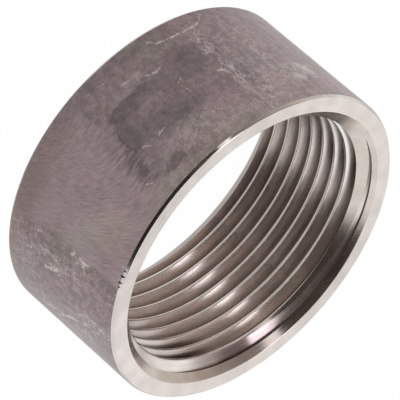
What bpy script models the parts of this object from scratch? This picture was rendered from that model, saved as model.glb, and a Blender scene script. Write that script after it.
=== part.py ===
"""Threaded weld end: a short steel ring with a parallel pipe thread of 1 1/4 inch cut right through it.

One turned piece. It stands on its weld face at Z = 0 with its axis on Z, and the face that the pipe
is screwed into is on top. It is made here the way it is made in the shop: a length of thick tube is
faced, broken at its outer rims and countersunk at both mouths, and then it is tapped.
Lengths are in metres.
"""

from math import cos, pi, radians, sin, tan

import bmesh
import bpy
from mathutils import Matrix

MM = 0.001
INCH = 25.4 * MM

# Thread, 55 degree pipe thread of 11 turns to the inch
THREAD_PITCH = INCH / 11
THREAD_MAJOR_DIAMETER = 41.91 * MM  # across the roots of the inside thread
FLANK_ANGLE = radians(27.5)  # each flank, from the plane across the axis
TRUNCATED_SHARE = 1 / 6  # of the sharp triangle's height, lost to the rounding at the crest and at the root
FIRST_CREST_DEPTH = 2.125 * MM  # from the front face down to the middle of a crest, on the +Y side

# Body
BODY_LENGTH = 21.8 * MM
WALL_BEHIND_THREAD = 3.195 * MM  # from the thread's root out to the tube's skin
RIM_CHAMFER_WIDTH = 0.30 * MM  # along the end face
RIM_CHAMFER_DEPTH = 0.40 * MM  # along the axis
MOUTH_RELIEF = 0.71 * MM  # how far the countersink opens past the thread's root, along the radius
COUNTERSINK_ANGLE = radians(45)  # between the cone's side and the axis

# What the sizes above settle
SHARP_HEIGHT = THREAD_PITCH / 2 / tan(FLANK_ANGLE)
TRUNCATION = SHARP_HEIGHT * TRUNCATED_SHARE
THREAD_DEPTH = SHARP_HEIGHT - 2 * TRUNCATION
ROUNDING_RADIUS = TRUNCATION * sin(FLANK_ANGLE) / (1 - sin(FLANK_ANGLE))
ROOT_RADIUS = THREAD_MAJOR_DIAMETER / 2
CREST_RADIUS = ROOT_RADIUS - THREAD_DEPTH
BODY_RADIUS = ROOT_RADIUS + WALL_BEHIND_THREAD
MOUTH_RADIUS = ROOT_RADIUS + MOUTH_RELIEF

# Pilot hole, which the tap opens out over its whole length
TAPPING_ALLOWANCE = 0.8 * MM
PILOT_RADIUS = CREST_RADIUS - TAPPING_ALLOWANCE
COUNTERSINK_DEPTH = (MOUTH_RADIUS - PILOT_RADIUS) / tan(COUNTERSINK_ANGLE)

# Facets round one turn
BODY_STEPS = 72
MERGE_DISTANCE = 0.00001
SHARP_ANGLE = radians(20)

MILL_SKIN = 0  # places in the list of materials
MACHINED = 1


def steel(name, colour, roughness):
    """A bare steel finish."""
    material = bpy.data.materials.new(name)
    material.use_nodes = True
    shader = material.node_tree.nodes["Principled BSDF"]
    shader.inputs["Base Color"].default_value = (*colour, 1.0)
    shader.inputs["Metallic"].default_value = 1.0
    shader.inputs["Roughness"].default_value = roughness
    material.diffuse_color = (*colour, 1.0)
    return material


def new_object(name, mesh, collection):
    """An object that holds the mesh, in the collection."""
    made = bpy.data.objects.new(name, mesh)
    collection.objects.link(made)
    return made


def new_collection(name):
    """A collection in the scene."""
    made = bpy.data.collections.new(name)
    bpy.context.scene.collection.children.link(made)
    return made


def outline_mesh(name, points, closed):
    """An outline in the XZ plane as a chain of edges; each point is a radius and a height."""
    bm = bmesh.new()
    chain = [bm.verts.new((radius, 0.0, height)) for radius, height in points]
    for first, second in zip(chain, chain[1:]):
        bm.edges.new((first, second))
    if closed:
        bm.edges.new((chain[-1], chain[0]))
    mesh = bpy.data.meshes.new(name)
    bm.to_mesh(mesh)
    bm.free()
    return mesh


def turned_blank(collection):
    """The tube before it is tapped: pilot hole, countersunk mouths, faced ends, broken outer rims."""
    top = BODY_LENGTH
    outline = [
        (PILOT_RADIUS, top - COUNTERSINK_DEPTH),
        (MOUTH_RADIUS, top),
        (BODY_RADIUS - RIM_CHAMFER_WIDTH, top),
        (BODY_RADIUS, top - RIM_CHAMFER_DEPTH),
        (BODY_RADIUS, RIM_CHAMFER_DEPTH),
        (BODY_RADIUS - RIM_CHAMFER_WIDTH, 0.0),
        (MOUTH_RADIUS, 0.0),
        (PILOT_RADIUS, COUNTERSINK_DEPTH),
    ]
    blank = new_object("threaded_weld_end", outline_mesh("blank_outline", outline, closed=True), collection)
    turning = blank.modifiers.new("turning", "SCREW")
    turning.axis = "Z"
    turning.steps = BODY_STEPS
    turning.render_steps = BODY_STEPS
    turning.use_merge_vertices = True
    turning.merge_threshold = MERGE_DISTANCE
    return blank


def thread_outline(start):
    """One pitch of the thread from crest to crest, going up; each rounding is drawn as two chords."""
    half_width = ROUNDING_RADIUS * cos(FLANK_ANGLE)
    rise = ROUNDING_RADIUS * (1 - sin(FLANK_ANGLE))
    middle = start + THREAD_PITCH / 2
    end = start + THREAD_PITCH
    return [
        (CREST_RADIUS, start),
        (CREST_RADIUS + rise, start + half_width),
        (ROOT_RADIUS - rise, middle - half_width),
        (ROOT_RADIUS, middle),
        (ROOT_RADIUS - rise, middle + half_width),
        (CREST_RADIUS + rise, end - half_width),
        (CREST_RADIUS, end),
    ]


def close_end(bm, loop, height):
    """Draws an open end of the tap together to one point on the axis."""
    drawn = bmesh.ops.extrude_edge_only(bm, edges=loop)
    tips = [item for item in drawn["geom"] if isinstance(item, bmesh.types.BMVert)]
    bmesh.ops.pointmerge(bm, verts=tips, merge_co=(0.0, 0.0, height))


def tap(collection):
    """The solid that cuts the thread: a screw that runs more than a pitch past both ends of the body.

    A crest of the inside thread lies at FIRST_CREST_DEPTH below the front face on the +Y side, and a
    right-hand thread climbs by a pitch for each turn. The tap's facets start half a facet round from
    +X, so that none of its edges lies along one of the body's.
    """
    half_facet = pi / BODY_STEPS
    quarter_turn = pi / 2
    crest_height = BODY_LENGTH - FIRST_CREST_DEPTH - THREAD_PITCH * (quarter_turn - half_facet) / (2 * pi)
    turns_below = int(crest_height / THREAD_PITCH) + 3
    turns = turns_below + int((BODY_LENGTH - crest_height) / THREAD_PITCH) + 2
    start = crest_height - turns_below * THREAD_PITCH
    end = start + turns * THREAD_PITCH

    bm = bmesh.new()
    bm.from_mesh(outline_mesh("tap_outline", thread_outline(start), closed=False))
    bmesh.ops.spin(
        bm,
        geom=bm.verts[:] + bm.edges[:],
        cent=(0.0, 0.0, 0.0),
        axis=(0.0, 0.0, 1.0),
        dvec=(0.0, 0.0, THREAD_PITCH / BODY_STEPS),
        angle=2 * pi * turns,
        steps=BODY_STEPS * turns,
    )
    bmesh.ops.remove_doubles(bm, verts=bm.verts[:], dist=MERGE_DISTANCE)
    middle = (start + end) / 2
    open_edges = [edge for edge in bm.edges if edge.is_boundary]
    lower = [edge for edge in open_edges if edge.verts[0].co.z < middle]
    upper = [edge for edge in open_edges if edge.verts[0].co.z > middle]
    close_end(bm, lower, start)
    close_end(bm, upper, end + THREAD_PITCH)
    bmesh.ops.rotate(bm, verts=bm.verts[:], matrix=Matrix.Rotation(half_facet, 3, "Z"))
    bmesh.ops.recalc_face_normals(bm, faces=bm.faces[:])
    if bm.calc_volume(signed=True) < 0:
        bmesh.ops.reverse_faces(bm, faces=bm.faces[:])
    mesh = bpy.data.meshes.new("tap")
    bm.to_mesh(mesh)
    bm.free()
    cutter = new_object("tap", mesh, collection)
    cutter.hide_render = True
    cutter.display_type = "WIRE"
    return cutter


def tapped(blank, cutter):
    """Cuts the thread through the blank and keeps the finished mesh on the object."""
    cut = blank.modifiers.new("tapping", "BOOLEAN")
    cut.operation = "DIFFERENCE"
    cut.solver = "EXACT"
    cut.object = cutter
    evaluated = blank.evaluated_get(bpy.context.evaluated_depsgraph_get())
    finished = bpy.data.meshes.new_from_object(evaluated)
    finished.name = blank.name
    blank.modifiers.clear()
    blank.data = finished
    return blank


def finish(body, skin, machined):
    """Mill skin on the outside of the tube and machined steel everywhere that a tool has cut."""
    mesh = body.data
    mesh.materials.clear()
    mesh.materials.append(skin)
    mesh.materials.append(machined)
    skin_starts = (BODY_RADIUS - RIM_CHAMFER_WIDTH / 4) * cos(pi / BODY_STEPS)
    for face in mesh.polygons:
        outside = face.center.xy.length > skin_starts
        face.material_index = MILL_SKIN if outside else MACHINED
    mesh.shade_smooth()
    mesh.set_sharp_from_angle(angle=SHARP_ANGLE)


def build():
    """Builds the ring in an empty scene."""
    for leftover in list(bpy.data.objects):
        bpy.data.objects.remove(leftover, do_unlink=True)
    fitting = new_collection("threaded_weld_end")
    cutters = new_collection("cutters")
    skin = steel("mill_skin", (0.22, 0.19, 0.19), roughness=0.50)
    machined = steel("machined_steel", (0.70, 0.67, 0.63), roughness=0.25)
    body = tapped(turned_blank(fitting), tap(cutters))
    finish(body, skin, machined)


build()
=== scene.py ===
"""Looks of the threaded weld end: a thick steel ring with grey mill skin outside and cut steel elsewhere.

The ring is turned and tapped here as in the shop, with finer steps than the CAD solid that it stands
for. Lengths are in metres, and the ring stands on the floor with its axis on Z. The finishes measure
in millimetres, and in degrees from the middle of the -Y side, with the +X side at 90.
"""

from math import cos, degrees, pi, radians, sin, tan

import bmesh
import bpy
from mathutils import Matrix, Vector


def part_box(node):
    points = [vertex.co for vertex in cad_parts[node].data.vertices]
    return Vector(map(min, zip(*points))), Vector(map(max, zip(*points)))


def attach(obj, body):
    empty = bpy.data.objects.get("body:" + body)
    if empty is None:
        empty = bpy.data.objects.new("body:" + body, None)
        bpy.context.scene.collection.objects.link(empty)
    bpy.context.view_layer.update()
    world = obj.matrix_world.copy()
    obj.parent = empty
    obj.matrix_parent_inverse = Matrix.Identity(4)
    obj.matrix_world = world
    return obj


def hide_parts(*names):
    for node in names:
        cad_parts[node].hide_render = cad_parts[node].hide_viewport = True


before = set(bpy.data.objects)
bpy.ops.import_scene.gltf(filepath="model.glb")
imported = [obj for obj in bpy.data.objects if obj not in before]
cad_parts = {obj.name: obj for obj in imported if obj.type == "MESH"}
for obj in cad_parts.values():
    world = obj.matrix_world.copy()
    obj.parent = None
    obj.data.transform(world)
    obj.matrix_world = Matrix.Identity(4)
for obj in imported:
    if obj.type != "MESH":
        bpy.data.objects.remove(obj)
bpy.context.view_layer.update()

MM = 0.001
NODE = "threaded_weld_end"
low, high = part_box(NODE)
LENGTH = high[2] - low[2]
RADIUS = (high[0] - low[0]) / 2

# Sizes that the ring shares with its CAD solid
PITCH = 25.4 * MM / 11
ROOT_RADIUS = 41.91 * MM / 2
FLANK_ANGLE = radians(27.5)
TRUNCATION = PITCH / 2 / tan(FLANK_ANGLE) / 6
CREST_RADIUS = ROOT_RADIUS - 4 * TRUNCATION
CREST_ROUNDING = TRUNCATION * sin(FLANK_ANGLE) / (1 - sin(FLANK_ANGLE))
FIRST_CREST_DEPTH = 2.125 * MM  # below the upper face, on the +Y side
MOUTH_RADIUS = ROOT_RADIUS + 0.71 * MM
RIM_WIDTH = 0.30 * MM
RIM_DEPTH = 0.40 * MM
PILOT_RADIUS = CREST_RADIUS - 0.8 * MM

# Sizes of its own
ROOT_ROUNDING = 0.167 * MM  # sharper than the crests, so the groove is cut deeper between the same flanks
ROOT_REACH = ROOT_RADIUS + TRUNCATION - ROOT_ROUNDING * (1 - sin(FLANK_ANGLE)) / sin(FLANK_ANGLE)
EDGE_BREAK = 0.05 * MM  # on the turned edges
NICK_CENTRE = RADIUS - 0.06 * MM  # from the axis

# Nicks in the upper rim: degrees round, mm below the face, half-widths in mm round and along the ring
NICKS = (
    (32.6, 0.30, (0.11, 0.28)),
    (34.6, 0.36, (0.20, 0.36)),
    (37.0, 0.44, (0.16, 0.30)),
    (38.6, 0.38, (0.11, 0.20)),
)

# Fineness
STEPS = 288  # round one turn
ARC_CHORDS = 8  # in each rounding of the thread
MERGE = 0.002 * MM  # corners nearer than this are one, after a spin
SPECK = 0.0002 * MM  # and nearer than this, in the finished mesh
TURNED_CORNER = radians(20)  # edges of the blank that turn by more are broken
SHARP_EDGE = radians(17)  # edges of the finished ring that turn by more are drawn sharp

# Materials, by their place on the ring's list
SKIN, RIM, FACE, SINK, THREAD = range(5)

# Colours of the skin
SKIN_MAUVE = (0.335, 0.243, 0.250)
SKIN_GREY = (0.296, 0.234, 0.224)
SKIN_GROUND = (0.354, 0.261, 0.267)
SKIN_BARE = (0.76, 0.69, 0.66)
SKIN_FLECK = (0.53, 0.415, 0.415)

# Colours of the cut steel
RIM_STEEL = (0.66, 0.63, 0.60)
FACE_STEEL = (0.76, 0.705, 0.66)
SINK_STEEL = (0.645, 0.58, 0.53)
# Painted highlight along the crest line
CREST_HIGHLIGHT = (0.95, 0.86, 0.82)
# Painted highlight in bands near the crests on the -X side
BAND_HIGHLIGHT = (0.93, 0.92, 0.89)
FLANK_AT_MOUTH = (0.70, 0.65, 0.62)
FLANK_INSIDE = (0.79, 0.72, 0.70)
# This and the two root colours below are painted shade, deep in the groove and in the roots
FLANK_DEEP_SHADE = (0.55, 0.50, 0.475)
ROOT_SHADE_AT_MOUTH = (0.12, 0.10, 0.09)
ROOT_SHADE_INSIDE = (0.30, 0.255, 0.235)

# Colours of painted shade, which darken the steel under them
LOWER_FLANK_SHADE = (0.64, 0.56, 0.50)
PAINTED_ROOT_SHADE = (0.22, 0.18, 0.15)
PAINTED_MOUTH_SHADE = (0.56, 0.50, 0.54)
BAND_ROOT_SHADE = (0.36, 0.345, 0.32)

# Where painted light and shade lie round the ring: degrees over which each comes in, and over which it goes
# out
RIM_DARK_REFLECTION = ((-9.0, -3.0), (30.0, 33.0))
PAINTED_LIGHT_SIDE = ((106.0, 124.0), (166.0, 180.0))
PAINTED_SHADE_SIDE = ((-180.0, -170.0), (-152.0, -140.0))
BAND_HIGHLIGHT_SIDE = ((-140.0, -122.0), (-86.0, -76.0))
PAINTED_ROOT_SHADE_SIDE = ((97.0, 110.0), (124.0, 142.0))
PAINTED_MOUTH_SHADE_SIDE = ((132.0, 140.0), (160.0, 170.0))

# The ground patch on the skin
GROUND_FROM = 3.0  # degrees
GROUND_TO = 39.3
GROUND_FLARE = 2.2  # mm that its right edge moves out, towards the lower face
GROUND_SHARE = 0.8  # how far it evens out the tone under it
GROUND_TURN = 1.05  # radians that its fine lines bend, from its left edge to its right

# What the floor shows to the steel, as a share of white
FLOOR_IN_STEEL = 0.45
BORE_FLOOR_LEFT = 1.0
BORE_FLOOR_MIDDLE = 0.36
BORE_FLOOR_RIGHT = 0.60
BORE_FLOOR_RADIUS = 20.0  # mm
FLOOR_TO_CAMERA = 0.95  # share of glow; the rest is matt, and takes the shadow
FLOOR_GLOW = 1.03

SLANT = -26.6  # degrees that most of the cards and both lamps are turned

# Cards for the steel to mirror: centre, size, degrees turned, colour at the right and at the left edge
CARDS = (
    ("black_card", (0.25, -0.81, 1.0), (2.2, 1.26), 0, (0.075, 0.062, 0.052), (0.03, 0.024, 0.019)),
    ("overhead_card", (0.171, -0.06, 0.99), (0.84, 0.845), SLANT, (0.02, 0.016, 0.014), (0.155, 0.13, 0.12)),
    ("left_card", (-1.58, -0.03, 0.98), (2.0, 1.92), SLANT, (0.20, 0.165, 0.155), (0.76, 0.67, 0.605)),
    ("far_left_card", (-3.23, 1.96, 0.97), (3.4, 4.5), SLANT, (0.66, 0.60, 0.55), (0.86, 0.82, 0.78)),
)

# Lamps: centre, and how bright a mirror would show it
LAMP_SIZE = (0.20, 0.9)
LAMP_COLOUR = (1.0, 0.95, 0.98)
LAMPS = (
    ("front_strip", (-0.705, -0.802, 0.96), 0.95),
    ("back_strip", (-0.318, 0.014, 0.96), 1.35),
)

# The photograph's camera, fitted to the ring's outline and thread
CAMERA_ELEVATION = radians(31.54)
CAMERA_ROLL = radians(130.96)
CAMERA_LENS = 423.0  # mm, on a sensor 36 mm wide
FACE_FROM_CAMERA = Vector((0.2954, -0.2683, 25.6135)) * RADIUS  # the upper face's centre: right, up, ahead

# Marks on the mill skin, placed by (degrees, mm below the upper face)
SHADED = [  # place, half-widths in mm, how soft the edge is, how much darker
    ((-24.0, 11.0), (8.5, 12.0), 0.9, 0.10),
    ((-19.0, 7.8), (2.2, 0.9), 0.6, 0.14),
    ((-17.0, 8.2), (2.6, 1.9), 0.7, 0.16),
    ((-27.0, 14.2), (4.4, 2.1), 0.7, 0.25),
    ((-36.0, 11.0), (3.4, 5.2), 0.8, 0.14),
    ((-4.7, 3.2), (1.65, 0.85), 0.15, 0.34),
    ((-9.0, 2.4), (1.8, 0.6), 0.6, 0.20),
    ((-43.3, 7.6), (0.9, 1.9), 0.5, 0.20),
    ((2.2, 6.2), (2.0, 2.9), 0.3, 0.26),
    ((43.0, 3.2), (1.6, 3.0), 0.15, 0.20),
    ((43.5, 11.2), (1.7, 2.0), 0.6, 0.16),
    ((46.5, 16.5), (1.5, 3.6), 0.7, 0.10),
    ((27.0, 19.8), (6.0, 1.6), 0.7, 0.16),
    ((-14.0, 20.4), (9.0, 1.1), 0.7, 0.16),
]
BLOTCH = [  # the dark blotch, where the darkest of these counts; the same measures
    ((-7.9, 11.4), (3.8, 3.3), 0.12, 0.32),
    ((-1.2, 10.9), (1.25, 2.5), 0.14, 0.45),
    ((-8.6, 14.0), (3.6, 1.35), 0.14, 0.42),
    ((-14.5, 9.3), (4.4, 2.4), 0.50, 0.22),
]
LIGHTER = [  # the same, but how much paler
    ((-14.2, 13.2), (1.3, 1.0), 0.6, 0.50),
    ((-9.0, 11.8), (2.3, 0.9), 0.7, 0.28),
    ((1.0, 6.2), (0.6, 0.5), 0.6, 0.35),
    ((-20.5, 4.3), (4.2, 2.2), 0.8, 0.14),
    ((-44.0, 3.2), (3.6, 3.2), 0.9, 0.16),
    ((-66.0, 6.4), (1.1, 1.0), 0.8, 0.30),
    ((-59.8, 5.0), (0.9, 0.6), 0.8, 0.30),
    ((-17.3, 16.6), (0.8, 0.45), 0.7, 0.40),
]
TINTED = [  # place, half-widths in mm, how soft the edge is, how strong, colour
    ((-15.0, 0.9), (7.5, 1.0), 0.7, 0.55, (0.31, 0.268, 0.222)),
    ((3.0, 1.2), (2.6, 1.2), 0.7, 0.50, (0.32, 0.272, 0.235)),
    ((25.5, 4.6), (2.2, 1.8), 0.8, 0.50, (0.39, 0.318, 0.275)),
    ((28.0, 19.6), (6.0, 1.7), 0.7, 0.50, (0.335, 0.25, 0.228)),
    ((33.0, 8.5), (2.6, 1.8), 0.8, 0.60, (0.37, 0.325, 0.31)),
    ((-32.0, 19.2), (5.0, 1.8), 0.7, 0.50, (0.32, 0.268, 0.235)),
    ((43.5, 11.5), (1.8, 2.2), 0.6, 0.60, (0.30, 0.262, 0.232)),
    ((-56.0, 10.5), (3.6, 2.4), 0.9, 0.35, (0.335, 0.30, 0.275)),
    ((-62.0, 11.0), (9.0, 12.0), 0.9, 0.45, (0.385, 0.262, 0.268)),
    ((-47.8, 9.0), (1.9, 1.9), 0.8, 0.40, (0.33, 0.31, 0.30)),
    ((-63.5, 6.2), (2.4, 1.3), 0.8, 0.55, (0.37, 0.325, 0.28)),
    ((-54.0, 2.8), (2.2, 1.3), 0.8, 0.50, (0.335, 0.285, 0.255)),
    ((-21.5, 11.4), (2.8, 1.6), 0.8, 0.50, (0.35, 0.238, 0.238)),
    ((-31.0, 7.0), (2.2, 1.8), 0.8, 0.50, (0.37, 0.25, 0.26)),
    ((-14.0, 2.0), (3.2, 0.8), 0.8, 0.50, (0.34, 0.24, 0.225)),
    ((57.0, 20.7), (5.0, 0.9), 0.7, 0.50, (0.42, 0.345, 0.30)),
]
VEINED = [  # where pale lacing shows through: place, half-widths, how strong
    ((50.0, 11.2), (1.25, 3.2), 0.90),
    ((61.5, 4.0), (1.2, 3.6), 0.80),
    ((68.5, 7.0), (2.4, 3.0), 0.65),
    ((73.0, 12.5), (2.0, 4.0), 0.60),
    ((41.6, 7.2), (0.8, 1.0), 0.95),
    ((-40.0, 8.6), (0.7, 3.2), 0.65),
    ((-41.0, 15.0), (0.8, 2.2), 0.75),
    ((-45.5, 4.0), (1.4, 3.2), 0.55),
    ((-55.5, 11.0), (0.9, 5.0), 0.50),
    ((-63.0, 6.0), (3.0, 1.8), 0.70),
    ((-42.0, 2.0), (2.5, 1.2), 0.40),
    ((57.0, 17.6), (3.4, 1.6), 0.45),
    ((-18.0, 4.4), (3.2, 2.0), 0.25),
]
SCRATCHES = [  # lines through these places, half-width in mm, how strong
    ([(-50.0, 20.3), (-46.0, 19.1), (-42.0, 18.75), (-35.0, 18.6)], 0.12, 0.80),
    ([(-35.0, 18.6), (-29.5, 19.1), (-27.5, 19.9)], 0.12, 0.80),
    ([(48.3, 7.6), (49.2, 9.6), (50.6, 11.0)], 0.10, 0.70),
    ([(50.6, 11.0), (52.8, 12.4), (53.9, 13.9)], 0.20, 0.95),
    ([(60.2, 1.0), (60.8, 3.6), (62.0, 5.0)], 0.15, 0.75),
    ([(63.8, 4.9), (65.0, 6.0)], 0.20, 0.70),
    ([(66.8, 7.6), (69.0, 9.4), (72.0, 11.2)], 0.24, 0.95),
    ([(73.0, 13.0), (74.4, 14.6)], 0.24, 0.85),
    ([(70.0, 4.6), (70.4, 7.0)], 0.22, 0.55),
    ([(-39.6, 2.0), (-39.4, 6.0), (-40.4, 9.0), (-40.2, 11.6)], 0.13, 0.32),
    ([(-40.8, 13.2), (-40.6, 16.0)], 0.13, 0.45),
    ([(-45.6, 9.0), (-45.8, 13.6)], 0.12, 0.30),
    ([(-43.8, 17.8), (-43.2, 19.0)], 0.09, 0.60),
    ([(-26.0, 12.2), (-24.2, 11.9)], 0.09, 0.55),
    ([(-24.8, 9.4), (-24.0, 10.4)], 0.10, 0.55),
    ([(-13.6, 17.0), (-11.4, 17.1)], 0.11, 0.45),
    ([(-38.8, 10.0), (-36.6, 10.2)], 0.14, 0.85),
    ([(-10.0, 7.9), (-7.0, 7.75)], 0.09, 0.45),
    ([(-3.4, 7.5), (-1.2, 8.1)], 0.09, 0.50),
    ([(-67.6, 5.7), (-65.0, 7.2)], 0.50, 0.75),
    ([(-60.6, 4.6), (-59.2, 5.0)], 0.36, 0.75),
    ([(5.2, 3.5), (6.8, 4.2)], 0.06, 0.65),
    ([(-24.0, 15.5), (-22.0, 15.3), (-20.8, 15.4)], 0.13, 0.60),
    ([(-20.0, 15.5), (-18.8, 15.8)], 0.12, 0.50),
    ([(-9.0, 19.2), (-6.0, 19.5)], 0.10, 0.32),
    ([(-4.0, 19.7), (-2.0, 19.7)], 0.10, 0.32),
    ([(40.2, 7.9), (41.2, 6.9), (42.4, 7.1)], 0.16, 0.85),
    ([(40.6, 9.2), (41.4, 9.4)], 0.16, 0.85),
    ([(51.6, 17.0), (51.9, 17.7)], 0.15, 0.85),
    ([(58.6, 18.0), (60.2, 18.6)], 0.12, 0.60),
    ([(42.4, 15.4), (43.6, 16.2)], 0.12, 0.45),
    ([(31.4, 0.8), (33.0, 0.7)], 0.08, 0.50),
    ([(35.2, 1.0), (36.6, 0.9)], 0.09, 0.50),
]


# Node helpers


def add(tree, kind, *values, **settings):
    """A shader node; values go to its inputs in order, and a socket among them is linked."""
    made = tree.nodes.new("ShaderNode" + kind)
    for name, value in settings.items():
        setattr(made, name, value)
    for socket, value in zip(made.inputs, values):
        if isinstance(value, bpy.types.NodeSocket):
            tree.links.new(value, socket)
        elif value is not None:
            socket.default_value = value
    return made


def calc(tree, operation, first, second=0.0, third=0.0):
    """One sum on up to three values."""
    return add(tree, "Math", first, second, third, operation=operation).outputs[0]


def times(tree, first, *others):
    """The product of the values."""
    for other in others:
        first = calc(tree, "MULTIPLY", first, other)
    return first


def plus(tree, first, second):
    """The sum of two values."""
    return calc(tree, "ADD", first, second)


def minus(tree, first, second):
    """The first value less the second."""
    return calc(tree, "SUBTRACT", first, second)


def blend(tree, share, first, second):
    """One value taken part of the way to another."""
    return calc(tree, "MULTIPLY_ADD", share, minus(tree, second, first), first)


def ramp(tree, value, low_value, high_value, to_low=0.0, to_high=1.0):
    """The value taken smoothly from one range to another and held at the ends."""
    made = add(tree, "MapRange", value, low_value, high_value, to_low, to_high)
    made.interpolation_type = "SMOOTHSTEP"
    return made.outputs[0]


def spread(tree, pattern, least, most):
    """A noise pattern's usual range, 0.3 to 0.7, taken to another."""
    return ramp(tree, pattern, 0.3, 0.7, least, most)


def fade(tree, value, start, end):
    """1 up to the start and 0 from the end on."""
    return ramp(tree, value, start, end, 1.0, 0.0)


def band(tree, value, rise, fall):
    """1 between two soft edges and 0 beyond them; each edge is where it starts and where it ends."""
    return times(tree, ramp(tree, value, *rise), fade(tree, value, *fall))


def vector(tree, operation, first, second):
    """One sum on two vectors."""
    return add(tree, "VectorMath", first, second, operation=operation).outputs[0]


def stretched(tree, place, scale):
    """The place times a scale for each axis."""
    return vector(tree, "MULTIPLY", place, scale)


def joined(tree, x, y, z=0.0):
    """Three values as a place, or as a colour."""
    return add(tree, "CombineXYZ", x, y, z).outputs[0]


def split(tree, place):
    """A place's three values."""
    return add(tree, "SeparateXYZ", place).outputs


def noise_node(tree, place, scale, detail=2.0, roughness=0.5, distortion=0.0):
    """Noise at a place, both as a value and as a colour."""
    made = add(tree, "TexNoise", noise_dimensions="3D")
    tree.links.new(place, made.inputs["Vector"])
    for name, value in (
        ("Scale", scale),
        ("Detail", detail),
        ("Roughness", roughness),
        ("Distortion", distortion),
    ):
        made.inputs[name].default_value = value
    return made


def noise(tree, *settings):
    """Noise from 0 to 1 at a place."""
    return noise_node(tree, *settings).outputs[0]


def mix(tree, factor, first, second, way="MIX"):
    """Two colours mixed by a factor."""
    made = tree.nodes.new("ShaderNodeMix")
    made.data_type = "RGBA"
    made.blend_type = way
    for index, value in ((0, factor), (6, first), (7, second)):
        socket = made.inputs[index]
        if isinstance(value, bpy.types.NodeSocket):
            tree.links.new(value, socket)
        elif index == 0:
            socket.default_value = value
        else:
            socket.default_value = (*value, 1.0)
    return made.outputs[2]


def darkened(tree, share, colour, film):
    """The colour under a film, for a share of its strength."""
    return mix(tree, share, colour, film, "MULTIPLY")


def toned(tree, colour, tone):
    """The colour times a tone."""
    return mix(tree, 1.0, colour, joined(tree, tone, tone, tone), "MULTIPLY")


def place_in_mm(tree):
    """Object coordinates in millimetres."""
    return stretched(tree, add(tree, "TexCoord").outputs["Object"], (1000, 1000, 1000))


def from_axis(tree, x, y):
    """The distance from the ring's axis."""
    return calc(tree, "SQRT", plus(tree, times(tree, x, x), times(tree, y, y)))


def round_and_down(tree, place):
    """(degrees round, mm from the axis, mm below the upper face) at a place."""
    x, y, z = split(tree, place)
    angle = times(tree, calc(tree, "ARCTAN2", x, times(tree, y, -1.0)), degrees(1))
    return angle, from_axis(tree, x, y), minus(tree, LENGTH / MM, z)


def new_material(name, roughness):
    """A metal with its Principled shader, and the node tree."""
    material = bpy.data.materials.new(name)
    material.use_nodes = True
    tree = material.node_tree
    shader = tree.nodes["Principled BSDF"]
    shader.inputs["Metallic"].default_value = 1.0
    shader.inputs["Roughness"].default_value = roughness
    return material, tree, shader


def cleared_tree(item):
    """The node tree of a material or a world, with nothing in it."""
    item.use_nodes = True
    item.node_tree.nodes.clear()
    return item.node_tree


def bump(tree, shader, height, distance):
    """Height, from 0 to 1, as a relief of that depth in metres."""
    made = add(tree, "Bump")
    made.inputs["Strength"].default_value = 1.0
    made.inputs["Distance"].default_value = distance
    tree.links.new(height, made.inputs["Height"])
    tree.links.new(made.outputs[0], shader.inputs["Normal"])


def turned(tree, shader, amount):
    """Highlights drawn out across marks that run round the axis, as on turned steel."""
    shader.inputs["Anisotropic"].default_value = amount
    shader.inputs["Anisotropic Rotation"].default_value = 0.25
    tangent = add(tree, "Tangent", direction_type="RADIAL", axis="Z").outputs[0]
    tree.links.new(tangent, shader.inputs["Tangent"])


# Mill skin


def on_skin(angle, below):
    """A place on the unrolled skin in mm, from degrees and mm below the upper face."""
    return Vector((radians(angle) * RADIUS / MM, below, 0.0))


def unrolled(tree, place):
    """(mm round, mm below the upper face, 1 at the back) on the skin unrolled; the back is upside down."""
    x, y, z = split(tree, place)
    turn = calc(tree, "ARCSINE", calc(tree, "DIVIDE", x, from_axis(tree, x, y)))
    behind = calc(tree, "GREATER_THAN", y, 0.0)
    from_top = minus(tree, LENGTH / MM, z)
    return times(tree, turn, RADIUS / MM), blend(tree, behind, from_top, z), behind


def patch(tree, spot, centre, half_widths, softness):
    """1 inside a rounded patch on the unrolled skin, 0 outside."""
    away = vector(tree, "SUBTRACT", spot, on_skin(*centre))
    away = stretched(tree, away, (1 / half_widths[0], 1 / half_widths[1], 0.0))
    away = vector(tree, "MULTIPLY", away, away)
    reach = add(tree, "VectorMath", away, operation="LENGTH").outputs["Value"]
    return fade(tree, reach, (1 - softness) ** 2, (1 + softness) ** 2)


def scratch(tree, spot, start, end, half_width):
    """1 on a straight line between two places on the unrolled skin, 0 away from it."""
    run = on_skin(*end) - on_skin(*start)
    away = vector(tree, "SUBTRACT", spot, on_skin(*start))
    part = add(tree, "VectorMath", away, run / run.length_squared, operation="DOT_PRODUCT").outputs["Value"]
    part = add(tree, "Clamp", part, 0.0, 1.0).outputs[0]
    foot = add(tree, "VectorMath", run, operation="SCALE")
    tree.links.new(part, foot.inputs["Scale"])
    gap = add(tree, "VectorMath", away, foot.outputs[0], operation="DISTANCE").outputs["Value"]
    return fade(tree, gap, half_width * 0.4, half_width * 1.8)


def darkest(tree, spot, rows):
    """How much darker the strongest of the patches makes a spot."""
    most = 0.0
    for centre, half_widths, softness, amount in rows:
        here = times(tree, patch(tree, spot, centre, half_widths, softness), amount)
        most = calc(tree, "MAXIMUM", most, here)
    return most


def shaded(tree, tone, spot, rows, way):
    """The tone with each patch on it: darker where way is -1, paler where it is 1."""
    for centre, half_widths, softness, amount in rows:
        here = times(tree, patch(tree, spot, centre, half_widths, softness), way * amount)
        tone = times(tree, tone, plus(tree, here, 1.0))
    return tone


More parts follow.
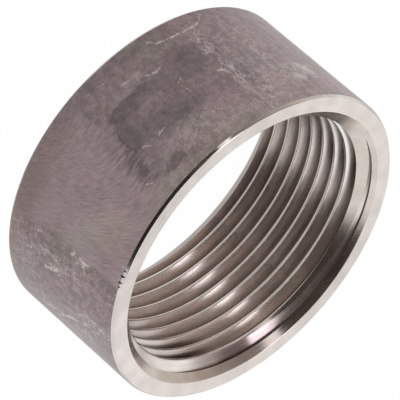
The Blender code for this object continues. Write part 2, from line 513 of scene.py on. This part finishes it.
def ground_patch(tree, near, behind, clouds):
    """(1 on the ground patch, its fine lines, its tone); the lines curve from round the ring to along it."""
    left, right = on_skin(GROUND_FROM, 0.0).x, on_skin(GROUND_TO, 0.0).x
    across, down = split(tree, near)[:2]
    edge = plus(tree, times(tree, ramp(tree, down, 13.0, LENGTH / MM), GROUND_FLARE), right)
    ground = ramp(tree, across, left - 0.1, left + 0.1)
    ground = times(tree, ground, fade(tree, minus(tree, across, edge), -0.15, 0.15))
    ground = times(tree, ground, minus(tree, 1.0, behind))
    turn = ramp(tree, across, left, right + 2.0, 0.0, GROUND_TURN)
    cosine, sine = calc(tree, "COSINE", turn), calc(tree, "SINE", turn)
    off = minus(tree, across, left)
    bent = minus(tree, times(tree, down, cosine), times(tree, off, sine))
    along = plus(tree, times(tree, off, cosine), times(tree, down, sine))
    lines = noise(tree, joined(tree, times(tree, bent, 3.8), times(tree, along, 0.5)), 1.0, 3.0, 0.6)
    tone = times(tree, spread(tree, lines, 0.75, 1.29), spread(tree, clouds, 0.96, 1.04))
    return ground, lines, tone


def feathered_edge(tree, near):
    """Feathered dark strokes where the grinding stopped."""
    left = on_skin(GROUND_FROM, 0.0).x
    across, down = split(tree, near)[:2]
    strokes = noise(tree, stretched(tree, near, (0.35, 2.6, 0.0)), 1.0, 2.0, 0.5)
    beside = band(tree, across, (left - 1.4, left - 0.1), (left + 0.4, left + 3.6))
    beside = times(tree, beside, band(tree, down, (2.6, 4.2), (9.0, 15.0)))
    return times(tree, beside, ramp(tree, strokes, 0.46, 0.54))


def bare_metal(tree, place, flat, near, grain, mottles):
    """How much bare metal shows, in the pale lacing and in the scratches."""
    lace = noise(tree, stretched(tree, place, (1.0, 1.0, 0.4)), 1.05, 4.0, 0.62, 0.5)
    lace = calc(tree, "ABSOLUTE", minus(tree, lace, 0.5))
    veins = times(tree, fade(tree, lace, 0.0, 0.05), ramp(tree, grain, 0.36, 0.56))
    bare = 0.0
    for centre, half_widths, amount in VEINED:
        here = times(tree, patch(tree, flat, centre, half_widths, 0.7), amount)
        bare = calc(tree, "MAXIMUM", bare, times(tree, here, veins))
    broken = times(tree, ramp(tree, grain, 0.33, 0.56), ramp(tree, mottles, 0.35, 0.50))
    for places, half_width, amount in SCRATCHES:
        for start, end in zip(places, places[1:]):
            here = times(tree, scratch(tree, near, start, end, half_width), amount)
            bare = calc(tree, "MAXIMUM", bare, times(tree, here, broken))
    return bare


def mill_skin():
    """Dull mauve-grey skin of a drawn tube: mottled, scuffed, and ground over one patch."""
    material, tree, shader = new_material("mill_skin", 0.5)
    shader.inputs["Coat Weight"].default_value = 1.0
    shader.inputs["Coat Roughness"].default_value = 0.35
    place = place_in_mm(tree)
    round_by, below, behind = unrolled(tree, place)
    flat = joined(tree, round_by, below)

    # Marks are looked up a little off their place, so that their edges are ragged
    coarse = noise_node(tree, place, 1.1, 4.0, 0.62)
    drift = vector(tree, "SUBTRACT", coarse.outputs["Color"], (0.5, 0.5, 0.5))
    spot = vector(tree, "ADD", flat, stretched(tree, drift, (1.6, 1.6, 0.0)))
    near = vector(tree, "ADD", flat, stretched(tree, drift, (0.8, 0.8, 0.0)))

    mottles = coarse.outputs[0]
    grain = noise(tree, place, 4.0, 3.0, 0.6)
    clouds = noise(tree, place, 0.22, 3.0, 0.55)
    streaks = noise(tree, stretched(tree, place, (1.0, 1.0, 0.07)), 1.3, 3.0, 0.6)
    hue = noise(tree, stretched(tree, place, (1.0, 1.0, 0.7)), 0.42, 4.0, 0.6)
    colour = mix(tree, ramp(tree, hue, 0.30, 0.70), SKIN_MAUVE, SKIN_GREY)
    tone = spread(tree, mottles, 0.82, 1.19)
    for pattern, least, most in ((clouds, 0.90, 1.10), (streaks, 0.94, 1.06), (grain, 0.84, 1.17)):
        tone = times(tree, tone, spread(tree, pattern, least, most))

    ground, lines, ground_tone = ground_patch(tree, near, behind, clouds)
    tone = blend(tree, times(tree, ground, GROUND_SHARE), tone, ground_tone)
    colour = mix(tree, times(tree, ground, 0.75), colour, SKIN_GROUND)
    feather = feathered_edge(tree, near)
    tone = times(tree, tone, minus(tree, 1.0, times(tree, feather, 0.42)))

    blotch = darkest(tree, spot, BLOTCH)
    tone = times(tree, tone, minus(tree, 1.0, blotch))
    tone = shaded(tree, tone, spot, SHADED, -1)
    tone = shaded(tree, tone, spot, LIGHTER, 1)
    for centre, half_widths, softness, amount, tint in TINTED:
        here = times(tree, patch(tree, spot, centre, half_widths, softness), amount)
        colour = mix(tree, here, colour, tint)
    colour = toned(tree, colour, tone)

    # Pale flecks: most on the sides, fewer on the blotch, and none on the ground patch
    flecks = times(tree, ramp(tree, grain, 0.48, 0.64), ramp(tree, mottles, 0.44, 0.58))
    flecks = times(tree, flecks, minus(tree, 1.0, calc(tree, "MAXIMUM", ground, blotch)))
    aside = calc(tree, "ABSOLUTE", round_by)
    flecks = times(tree, flecks, ramp(tree, aside, 13.0, 20.0, 0.15, 0.75))
    colour = mix(tree, flecks, colour, SKIN_FLECK)

    bare = bare_metal(tree, place, flat, near, grain, mottles)
    colour = mix(tree, bare, colour, SKIN_BARE)
    tree.links.new(colour, shader.inputs["Base Color"])
    rough = minus(tree, spread(tree, grain, 0.44, 0.56), times(tree, bare, 0.12))
    tree.links.new(rough, shader.inputs["Roughness"])
    relief = plus(tree, times(tree, mottles, 0.6), times(tree, bare, 0.3))
    relief = plus(tree, relief, times(tree, ground, lines, 0.3))
    bump(tree, shader, relief, 0.05 * MM)
    return material


# Cut steel


def cut_steel(name, colour, roughness, marks_per_mm, depth, front_light_gain=1.0, dark_reflection=0.0):
    """Bright turned steel, its tool marks round the axis.

    The -Y side is made brighter by a gain, as painted light, and a painted dark reflection darkens a stretch
    of it.
    """
    material, tree, shader = new_material(name, roughness)
    place = place_in_mm(tree)
    angle, radius, below = round_and_down(tree, place)
    track = joined(tree, radius, below, times(tree, angle, 0.004))
    marks = noise(tree, track, marks_per_mm, 2.0, 0.6)
    smears = noise(tree, place, 0.4, 2.0)
    front = split(tree, place)[1]
    # Painted light: the colour of the -Y side is raised by a gain
    tone = times(tree, spread(tree, smears, 0.93, 1.05), ramp(tree, front, -6.0, 2.0, front_light_gain, 1.0))
    # Painted dark reflection: the colour is darkened along a stretch round the ring
    if dark_reflection:
        tone = times(tree, tone, calc(tree, "MULTIPLY_ADD", band(tree, angle, *RIM_DARK_REFLECTION), -dark_reflection, 1.0))
    tree.links.new(toned(tree, colour, tone), shader.inputs["Base Color"])
    tree.links.new(spread(tree, marks, roughness * 0.85, roughness * 1.2), shader.inputs["Roughness"])
    bump(tree, shader, marks, depth)
    turned(tree, shader, 0.7)
    return material


def flank_light_and_shade(tree, colour, angle, below, groove, level):
    """The thread's colour with painted shade and painted highlights on it.

    groove is mm out from the crest. level is mm below the upper face with the thread's climb taken out,
    so it stays the same all along a crest.
    """
    past_crest = minus(tree, level, (FIRST_CREST_DEPTH + PITCH / 2) / MM)
    # Part of a pitch, down from a crest: the lower flank comes first, then the root and the upper flank
    phase = calc(tree, "FRACT", calc(tree, "DIVIDE", past_crest, PITCH / MM))
    # Painted shade on the lower flanks
    colour = darkened(tree, band(tree, phase, (0.04, 0.12), (0.44, 0.52)), colour, LOWER_FLANK_SHADE)

    # Two patches of painted shade on the first turns: in the roots on the +X side, and all over next to it,
    # where it also dims the lamp's glint
    shade_mask = times(tree, band(tree, angle, *PAINTED_ROOT_SHADE_SIDE), ramp(tree, past_crest, -0.1, 0.2))
    shade_mask = times(tree, shade_mask, fade(tree, below, 5.5, 9.0), ramp(tree, groove, 0.45, 0.80))
    colour = darkened(tree, shade_mask, colour, PAINTED_ROOT_SHADE)
    shade_mask = times(tree, band(tree, angle, *PAINTED_MOUTH_SHADE_SIDE), fade(tree, below, 1.6, 3.0))
    colour = darkened(tree, shade_mask, colour, PAINTED_MOUTH_SHADE)

    # Painted highlights near the crests on the -X side, with painted shade in the roots
    highlight_band = times(tree, band(tree, angle, *BAND_HIGHLIGHT_SIDE), fade(tree, below, 7.0, 18.0))
    deep = ramp(tree, groove, 0.22, 0.66)
    colour = mix(tree, times(tree, highlight_band, minus(tree, 1.0, deep)), colour, BAND_HIGHLIGHT)
    return darkened(tree, times(tree, highlight_band, deep), colour, BAND_ROOT_SHADE)


def cut_thread():
    """Tapped thread: crests with a painted highlight, and flanks that painted shade darkens towards the
    root, marked along the helix.
    """
    material, tree, shader = new_material("cut_thread", 0.2)
    angle, radius, below = round_and_down(tree, place_in_mm(tree))
    groove = minus(tree, radius, CREST_RADIUS / MM)
    level = plus(tree, below, times(tree, angle, PITCH / MM / 360))
    helix = joined(tree, radius, level, times(tree, angle, 0.02))
    marks = noise(tree, helix, 2.2, 2.0, 0.5)
    blots = noise(tree, stretched(tree, helix, (0.3, 1.0, 4.0)), 0.9, 2.0, 0.5)
    inside = ramp(tree, below, 1.6, 7.0)

    colour = mix(tree, inside, FLANK_AT_MOUTH, FLANK_INSIDE)
    # Painted shade deeper in the groove
    colour = mix(tree, times(tree, inside, ramp(tree, groove, 0.5, 1.4)), colour, FLANK_DEEP_SHADE)
    tone = times(tree, spread(tree, marks, 0.94, 1.06), spread(tree, blots, 0.90, 1.10))
    # Painted light on the flanks of one side, and painted shade on another
    side_light = calc(tree, "MULTIPLY_ADD", band(tree, angle, *PAINTED_LIGHT_SIDE), 0.24, 1.0)
    side_shade = times(tree, band(tree, angle, *PAINTED_SHADE_SIDE), 0.18)
    colour = toned(tree, colour, times(tree, tone, minus(tree, side_light, side_shade)))
    colour = flank_light_and_shade(tree, colour, angle, below, groove, level)
    # Painted highlight along the crests
    crest = fade(tree, groove, 0.008, 0.045)
    colour = mix(tree, crest, colour, CREST_HIGHLIGHT)
    # Painted shade in the roots
    root = mix(tree, inside, ROOT_SHADE_AT_MOUTH, ROOT_SHADE_INSIDE)
    colour = mix(tree, ramp(tree, groove, 1.48, 1.60), colour, root)
    tree.links.new(colour, shader.inputs["Base Color"])

    rough = minus(tree, spread(tree, marks, 0.24, 0.30), times(tree, crest, 0.15))
    rough = times(tree, rough, ramp(tree, below, 1.6, 5.0, 0.6, 1.0))
    tree.links.new(rough, shader.inputs["Roughness"])
    bump(tree, shader, marks, 0.0015 * MM)
    turned(tree, shader, 0.95)
    return material


# The ring


def made_mesh(bm, name):
    """The bmesh as a new mesh."""
    mesh = bpy.data.meshes.new(name)
    bm.to_mesh(mesh)
    bm.free()
    return mesh


def placed(name, data):
    """A new object in the scene that holds the data."""
    made = bpy.data.objects.new(name, data)
    bpy.context.scene.collection.objects.link(made)
    return made


def outline(bm, points):
    """A chain of edges in the XZ plane; each point is a radius and a height."""
    chain = [bm.verts.new((radius, 0.0, height)) for radius, height in points]
    for first, second in zip(chain, chain[1:]):
        bm.edges.new((first, second))
    return chain


def spun(bm, climb, whole):
    """Spins what is in the bmesh once round the axis; whole closes the turn on itself."""
    bmesh.ops.spin(
        bm,
        geom=bm.verts[:] + bm.edges[:],
        cent=(0, 0, 0),
        axis=(0, 0, 1),
        dvec=(0, 0, climb / STEPS),
        angle=2 * pi,
        steps=STEPS,
        use_merge=whole,
    )
    bmesh.ops.remove_doubles(bm, verts=bm.verts[:], dist=MERGE)


def turned_blank():
    """The tube with its pilot hole, countersunk mouths, faced ends and broken rims."""
    sink_depth = MOUTH_RADIUS - PILOT_RADIUS
    bm = bmesh.new()
    chain = outline(
        bm,
        [
            (PILOT_RADIUS, LENGTH - sink_depth),
            (MOUTH_RADIUS, LENGTH),
            (RADIUS - RIM_WIDTH, LENGTH),
            (RADIUS, LENGTH - RIM_DEPTH),
            (RADIUS, RIM_DEPTH),
            (RADIUS - RIM_WIDTH, 0.0),
            (MOUTH_RADIUS, 0.0),
            (PILOT_RADIUS, sink_depth),
        ],
    )
    bm.edges.new((chain[-1], chain[0]))
    spun(bm, 0.0, True)
    bmesh.ops.recalc_face_normals(bm, faces=bm.faces[:])
    corners = [
        edge
        for edge in bm.edges
        if edge.calc_face_angle(0.0) > TURNED_CORNER and edge.verts[0].co.xy.length > ROOT_RADIUS
    ]
    bmesh.ops.bevel(
        bm,
        geom=corners,
        offset=EDGE_BREAK,
        affect="EDGES",
        segments=1,
        profile=0.5,
        material=-1,
        offset_type="OFFSET",
    )
    bmesh.ops.recalc_face_normals(bm, faces=bm.faces[:])
    for face in bm.faces:
        face.material_index = turned_finish(face)
    return made_mesh(bm, "blank")


def turned_finish(face):
    """The finish of a face of the blank, by the way it faces."""
    slope = abs(face.normal.z)
    outside = face.calc_center_median().xy.length > (MOUTH_RADIUS + RADIUS) / 2
    if slope > 0.95:
        return FACE
    if not outside:
        return SINK
    return RIM if slope > 0.45 else SKIN


def thread_points(start, turns):
    """The thread's section going up over that many turns, with rounded crests and roots."""
    steep = pi / 2 - FLANK_ANGLE
    swings = [steep * (2 * step / ARC_CHORDS - 1) for step in range(ARC_CHORDS + 1)]
    points = []
    for turn in range(turns):
        for lift, reach, rounding, way in (
            (0.0, CREST_RADIUS, CREST_ROUNDING, -1),
            (PITCH / 2, ROOT_REACH, ROOT_ROUNDING, 1),
        ):
            centre = reach - way * rounding
            height = start + turn * PITCH + lift
            for swing in swings:
                points.append((centre + way * rounding * cos(swing), height + rounding * sin(swing)))
    return points + [(points[0][0], points[0][1] + turns * PITCH)]


def add_nick(bm, angle, below, half_widths):
    """A small egg in the upper rim, which cuts a nick."""
    wide, tall = half_widths
    made = bmesh.ops.create_icosphere(bm, subdivisions=2, radius=MM)["verts"]
    bmesh.ops.scale(bm, verts=made, vec=(wide, tall, tall))
    bmesh.ops.translate(bm, verts=made, vec=(0.0, -NICK_CENTRE, LENGTH - below * MM))
    bmesh.ops.rotate(bm, verts=made, matrix=Matrix.Rotation(radians(angle), 3, "Z"))
    for face in {face for vert in made for face in vert.link_faces}:
        face.material_index = SKIN


def tap_solid():
    """The screw that cuts the thread, more than a pitch past both ends, and the nicks."""
    half_facet = pi / STEPS
    crest_height = LENGTH - FIRST_CREST_DEPTH - PITCH * (pi / 2 - half_facet) / (2 * pi)
    turns_below = int(crest_height / PITCH) + 3
    turns = turns_below + 3
    start = crest_height - turns_below * PITCH
    bm = bmesh.new()
    outline(bm, thread_points(start, turns))
    spun(bm, PITCH, False)
    bmesh.ops.rotate(bm, verts=bm.verts[:], matrix=Matrix.Rotation(half_facet, 3, "Z"))
    rims = [edge for edge in bm.edges if edge.is_boundary]
    for tip, below in ((start, True), (start + (turns + 1) * PITCH, False)):
        rim = [edge for edge in rims if (edge.verts[0].co.z < LENGTH / 2) == below]
        drawn = bmesh.ops.extrude_edge_only(bm, edges=rim)
        tips = [item for item in drawn["geom"] if isinstance(item, bmesh.types.BMVert)]
        bmesh.ops.pointmerge(bm, verts=tips, merge_co=(0, 0, tip))
    bmesh.ops.recalc_face_normals(bm, faces=bm.faces[:])
    if bm.calc_volume(signed=True) < 0:
        bmesh.ops.reverse_faces(bm, faces=bm.faces[:])
    for face in bm.faces:
        face.material_index = THREAD
    for nick in NICKS:
        add_nick(bm, *nick)
    return made_mesh(bm, "tap")


def without_specks(mesh):
    """Joins corners that the cut left on top of each other."""
    bm = bmesh.new()
    bm.from_mesh(mesh)
    bmesh.ops.remove_doubles(bm, verts=bm.verts[:], dist=SPECK)
    bmesh.ops.dissolve_degenerate(bm, dist=SPECK, edges=bm.edges[:])
    bm.to_mesh(mesh)
    bm.free()


def tapped_ring(finishes):
    """The finished ring: the blank with the thread cut through it."""
    blank, screw = turned_blank(), tap_solid()
    for mesh in (blank, screw):
        for finish in finishes:
            mesh.materials.append(finish)
    ring, tap = placed("steel_ring", blank), placed("tap", screw)
    cut = ring.modifiers.new("tapping", "BOOLEAN")
    cut.operation = "DIFFERENCE"
    cut.solver = "MANIFOLD"
    cut.material_mode = "INDEX"
    cut.object = tap
    evaluated = ring.evaluated_get(bpy.context.evaluated_depsgraph_get())
    finished = bpy.data.meshes.new_from_object(evaluated)
    finished.name = "steel_ring"
    ring.modifiers.clear()
    ring.data = finished
    bpy.data.objects.remove(tap, do_unlink=True)
    without_specks(finished)
    finished.shade_smooth()
    finished.set_sharp_from_angle(angle=SHARP_EDGE)
    return ring


ring = tapped_ring(
    [
        mill_skin(),
        # The rim chamfer's colour carries a painted dark reflection on part of its -Y side
        cut_steel("rim_chamfer", RIM_STEEL, 0.14, 9.0, 0.002 * MM, dark_reflection=0.65),
        cut_steel("turned_face", FACE_STEEL, 0.36, 9.0, 0.004 * MM),
        # The countersink's -Y side is painted brighter, as painted light
        cut_steel("countersink", SINK_STEEL, 0.18, 7.0, 0.0015 * MM, front_light_gain=1.38),
        cut_thread(),
    ]
)
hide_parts(NODE)
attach(ring, "root")


# Studio


def white_floor():
    """A pale floor that shows white to the camera and in the metal, and keeps a soft shadow."""
    bm = bmesh.new()
    bmesh.ops.create_circle(bm, cap_ends=True, segments=64, radius=4.0)
    bmesh.ops.translate(bm, verts=bm.verts[:], vec=(0, 0, -0.02 * MM))
    floor = placed("floor", made_mesh(bm, "floor"))
    material = bpy.data.materials.new("white_floor")
    tree = cleared_tree(material)
    path = add(tree, "LightPath").outputs
    seen = calc(tree, "MAXIMUM", path["Is Camera Ray"], path["Is Transmission Ray"])
    x, y = split(tree, place_in_mm(tree))[:2]
    in_bore = calc(tree, "LESS_THAN", from_axis(tree, x, y), BORE_FLOOR_RADIUS)
    inside = plus(
        tree,
        ramp(tree, x, -15.0, -6.0, BORE_FLOOR_LEFT, BORE_FLOOR_MIDDLE),
        ramp(tree, x, -1.0, 6.0, 0.0, BORE_FLOOR_RIGHT - BORE_FLOOR_MIDDLE),
    )
    lit = blend(tree, in_bore, FLOOR_IN_STEEL, inside)
    mirrored = times(tree, path["Is Glossy Ray"], lit)
    glowing = calc(tree, "MULTIPLY_ADD", seen, FLOOR_TO_CAMERA, mirrored)
    matt = add(tree, "BsdfDiffuse", (0.9, 0.9, 0.9, 1.0)).outputs[0]
    glow = add(tree, "Emission", (1.0, 1.0, 1.0, 1.0), FLOOR_GLOW).outputs[0]
    add(tree, "OutputMaterial", add(tree, "MixShader", glowing, matt, glow).outputs[0])
    floor.data.materials.append(material)


def studio_world():
    """White wherever the camera or the steel looks past the cards."""
    world = bpy.data.worlds.new("studio")
    tree = cleared_tree(world)
    path = add(tree, "LightPath").outputs
    seen = calc(tree, "MAXIMUM", path["Is Camera Ray"], path["Is Glossy Ray"])
    seen = calc(tree, "MAXIMUM", seen, path["Is Transmission Ray"])
    tent = add(tree, "Background", (1.0, 1.0, 1.0, 1.0), 0.9).outputs[0]
    white = add(tree, "Background", (1.0, 1.0, 1.0, 1.0), 1.0).outputs[0]
    add(tree, "OutputWorld", add(tree, "MixShader", seen, tent, white).outputs[0])
    bpy.context.scene.world = world


def card(name, centre, size, turn, right_colour, left_colour):
    """A flat card over the ring, turned about the upright, that shades from one edge to the other."""
    bm = bmesh.new()
    bmesh.ops.create_grid(bm, x_segments=1, y_segments=1, size=0.5)
    bmesh.ops.scale(bm, verts=bm.verts[:], vec=(*size, 1.0))
    bmesh.ops.rotate(bm, verts=bm.verts[:], matrix=Matrix.Rotation(radians(turn), 3, "Z"))
    bmesh.ops.translate(bm, verts=bm.verts[:], vec=centre)
    hung = placed(name, made_mesh(bm, name))
    material = bpy.data.materials.new(name)
    tree = cleared_tree(material)
    across = Vector((-cos(radians(turn)), -sin(radians(turn)), 0.0))
    place = add(tree, "TexCoord").outputs["Object"]
    reach = add(tree, "VectorMath", place, across, operation="DOT_PRODUCT").outputs["Value"]
    off_middle = minus(tree, reach, Vector(centre).dot(across))
    part = calc(tree, "MULTIPLY_ADD", off_middle, 1 / size[0], 0.5)
    glow = add(tree, "Emission", mix(tree, part, right_colour, left_colour), 1.0).outputs[0]
    add(tree, "OutputMaterial", glow)
    hung.data.materials.append(material)


def soft_lamp(name, centre, level):
    """A flat lamp over the ring that shines down."""
    data = bpy.data.lights.new(name, "AREA")
    data.shape = "RECTANGLE"
    data.size, data.size_y = LAMP_SIZE
    data.energy = level * pi * LAMP_SIZE[0] * LAMP_SIZE[1]
    data.color = LAMP_COLOUR
    lamp = placed(name, data)
    lamp.matrix_world = Matrix.Translation(centre) @ Matrix.Rotation(radians(SLANT), 4, "Z")


def photo_camera():
    """The camera at the photograph's angle."""
    ahead = Vector((0.0, cos(CAMERA_ELEVATION), -sin(CAMERA_ELEVATION)))
    level_up = Vector((0.0, sin(CAMERA_ELEVATION), cos(CAMERA_ELEVATION)))
    level_right = Vector((1.0, 0.0, 0.0))
    right = level_right * cos(CAMERA_ROLL) + level_up * sin(CAMERA_ROLL)
    up = level_up * cos(CAMERA_ROLL) - level_right * sin(CAMERA_ROLL)
    data = bpy.data.cameras.new("photo_camera")
    data.sensor_width = 36.0
    data.lens = CAMERA_LENS
    data.clip_start = 0.01
    data.clip_end = 20.0
    camera = placed("photo_camera", data)
    offset = FACE_FROM_CAMERA
    stand = Vector((0.0, 0.0, LENGTH)) - right * offset.x - up * offset.y - ahead * offset.z
    facing = Matrix((right, up, -ahead)).transposed().to_4x4()
    camera.matrix_world = Matrix.Translation(stand) @ facing
    bpy.context.scene.camera = camera


white_floor()
studio_world()
for row in CARDS:
    card(*row)
for row in LAMPS:
    soft_lamp(*row)
photo_camera()

bpy.context.scene.view_settings.view_transform = "Standard"
